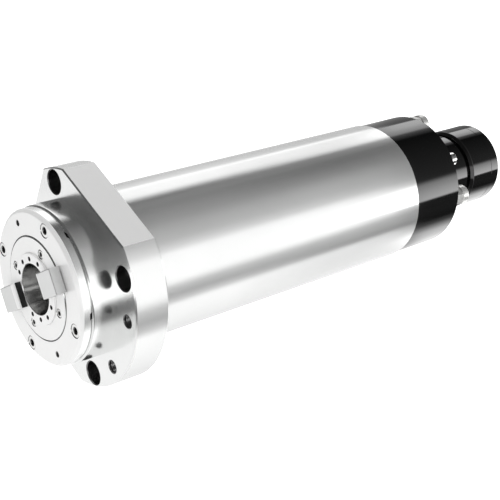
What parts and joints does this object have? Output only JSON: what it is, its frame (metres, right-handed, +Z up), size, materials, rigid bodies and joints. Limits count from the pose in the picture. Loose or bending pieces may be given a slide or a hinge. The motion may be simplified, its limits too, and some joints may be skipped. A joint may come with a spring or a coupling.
{
  "type": "motorised milling spindle",
  "caption": "Flange-mounted motor spindle with a short-taper nose, drive keys, drawbar gripper and a tool-release cylinder behind a black rear drum.",
  "frame": {"origin": "on the spindle axis, in the plane of the flange's rear mounting face", "axes": "+X along the spindle axis from the nose to the release cylinder, +Z up through the upper flange flat, -Y towards the two media ports"},
  "size_m": [0.404, 0.1215, 0.12],
  "materials": {
    "polished_steel": "mirror ground and polished steel with fine face turning",
    "ground_steel": "satin, ground along its length with a soft broad highlight",
    "hardened_steel": "hardened and ground, bright",
    "key_steel": "hardened, ground flat",
    "bearing_steel": "superfinished",
    "screw_steel": "bright zinc plated",
    "black_anodised": "gloss black anodised, turned",
    "nickel_plate": "nickel plated",
    "jacket_aluminium": "machined",
    "lamination_steel": "stacked sheet, lightly oiled",
    "copper_winding": "lacquered copper winding",
    "rotor_bars": "cast",
    "spring_steel": "tempered, oiled",
    "seal_rubber": "smooth moulded rubber",
    "connector_plastic": "fine moulded plastic"
  },
  "bodies": {
    "housing": {"flange_housing": "polished_steel", "front_cap": "polished_steel", "cap_screws": "screw_steel", "motor_sleeve": "ground_steel", "cooling_jacket": "jacket_aluminium", "jacket_seals": "seal_rubber", "stator_core": "lamination_steel", "end_windings": "copper_winding", "front_outer_races": "bearing_steel", "front_outer_spacer": "hardened_steel", "rear_carrier": "hardened_steel", "rear_outer_races": "bearing_steel", "rear_outer_spacer": "hardened_steel", "rear_drum": "black_anodised", "drum_screws": "screw_steel", "hose_fittings": "nickel_plate", "power_connector": "nickel_plate", "signal_connector": "nickel_plate", "speed_sensor": "connector_plastic", "release_cylinder": "black_anodised", "cylinder_screws": "screw_steel", "rod_seal": "seal_rubber", "cylinder_cap": "black_anodised", "cylinder_cap_screws": "screw_steel", "return_spring": "spring_steel"},
    "shaft": {"spindle_shaft": "hardened_steel", "labyrinth_ring": "polished_steel", "ring_screws": "screw_steel", "drive_keys": "key_steel", "front_inner_races": "bearing_steel", "front_inner_spacer": "hardened_steel", "front_locknut": "hardened_steel", "rotor_core": "lamination_steel", "rotor_end_rings": "rotor_bars", "rear_inner_races": "bearing_steel", "rear_inner_spacers": "hardened_steel", "rear_locknut": "hardened_steel", "encoder_ring": "hardened_steel", "spring_guide": "hardened_steel", "disc_springs": "spring_steel"},
    "front_rows": {"front_ball_rows": "bearing_steel"},
    "rear_rows": {"rear_ball_rows": "bearing_steel"},
    "drawbar": {"drawbar": "hardened_steel", "drawbar_nut": "hardened_steel"},
    "finger_1": {"gripper_finger_1": "hardened_steel"},
    "finger_2": {"gripper_finger_2": "hardened_steel"},
    "finger_3": {"gripper_finger_3": "hardened_steel"},
    "finger_4": {"gripper_finger_4": "hardened_steel"},
    "piston": {"release_piston": "hardened_steel", "piston_ring": "seal_rubber"}
  },
  "joints": [
    {"name": "spindle_spin", "type": "hinge", "parent": "housing", "child": "shaft", "pos_m": [0, 0, 0], "axis": [1, 0, 0], "continuous": true},
    {"name": "front_rows_spin", "type": "hinge", "parent": "housing", "child": "front_rows", "pos_m": [-0.014, 0, 0], "axis": [1, 0, 0], "continuous": true},
    {"name": "rear_rows_spin", "type": "hinge", "parent": "housing", "child": "rear_rows", "pos_m": [0.213, 0, 0], "axis": [1, 0, 0], "continuous": true},
    {"name": "tool_release", "type": "slide", "parent": "shaft", "child": "drawbar", "axis": [-1, 0, 0], "range_m": [0, 0.006], "stiffness_N_per_m": 2000, "springref_m": -0.003, "deforming": ["disc_springs"]},
    {"name": "piston_stroke", "type": "slide", "parent": "housing", "child": "piston", "axis": [-1, 0, 0], "range_m": [0, 0.006], "deforming": ["return_spring"]},
    {"name": "finger_1_open", "type": "hinge", "parent": "drawbar", "child": "finger_1", "pos_m": [0.035, 0, 0.007], "axis": [0, 1, 0], "range_deg": [0, 5]},
    {"name": "finger_2_open", "type": "hinge", "parent": "drawbar", "child": "finger_2", "pos_m": [0.035, -0.007, 0], "axis": [0, 0, 1], "range_deg": [0, 5]},
    {"name": "finger_3_open", "type": "hinge", "parent": "drawbar", "child": "finger_3", "pos_m": [0.035, 0, -0.007], "axis": [0, -1, 0], "range_deg": [0, 5]},
    {"name": "finger_4_open", "type": "hinge", "parent": "drawbar", "child": "finger_4", "pos_m": [0.035, 0.007, 0], "axis": [0, 0, -1], "range_deg": [0, 5]}
  ],
  "couplings": [
    {"joint": "front_rows_spin", "follows": "spindle_spin", "ratio": 0.43},
    {"joint": "rear_rows_spin", "follows": "spindle_spin", "ratio": 0.42},
    {"joint": "piston_stroke", "follows": "tool_release", "ratio": 1},
    {"joint": "finger_1_open", "follows": "tool_release", "rad_per_m": 14.5},
    {"joint": "finger_2_open", "follows": "tool_release", "rad_per_m": 14.5},
    {"joint": "finger_3_open", "follows": "tool_release", "rad_per_m": 14.5},
    {"joint": "finger_4_open", "follows": "tool_release", "rad_per_m": 14.5}
  ]
}
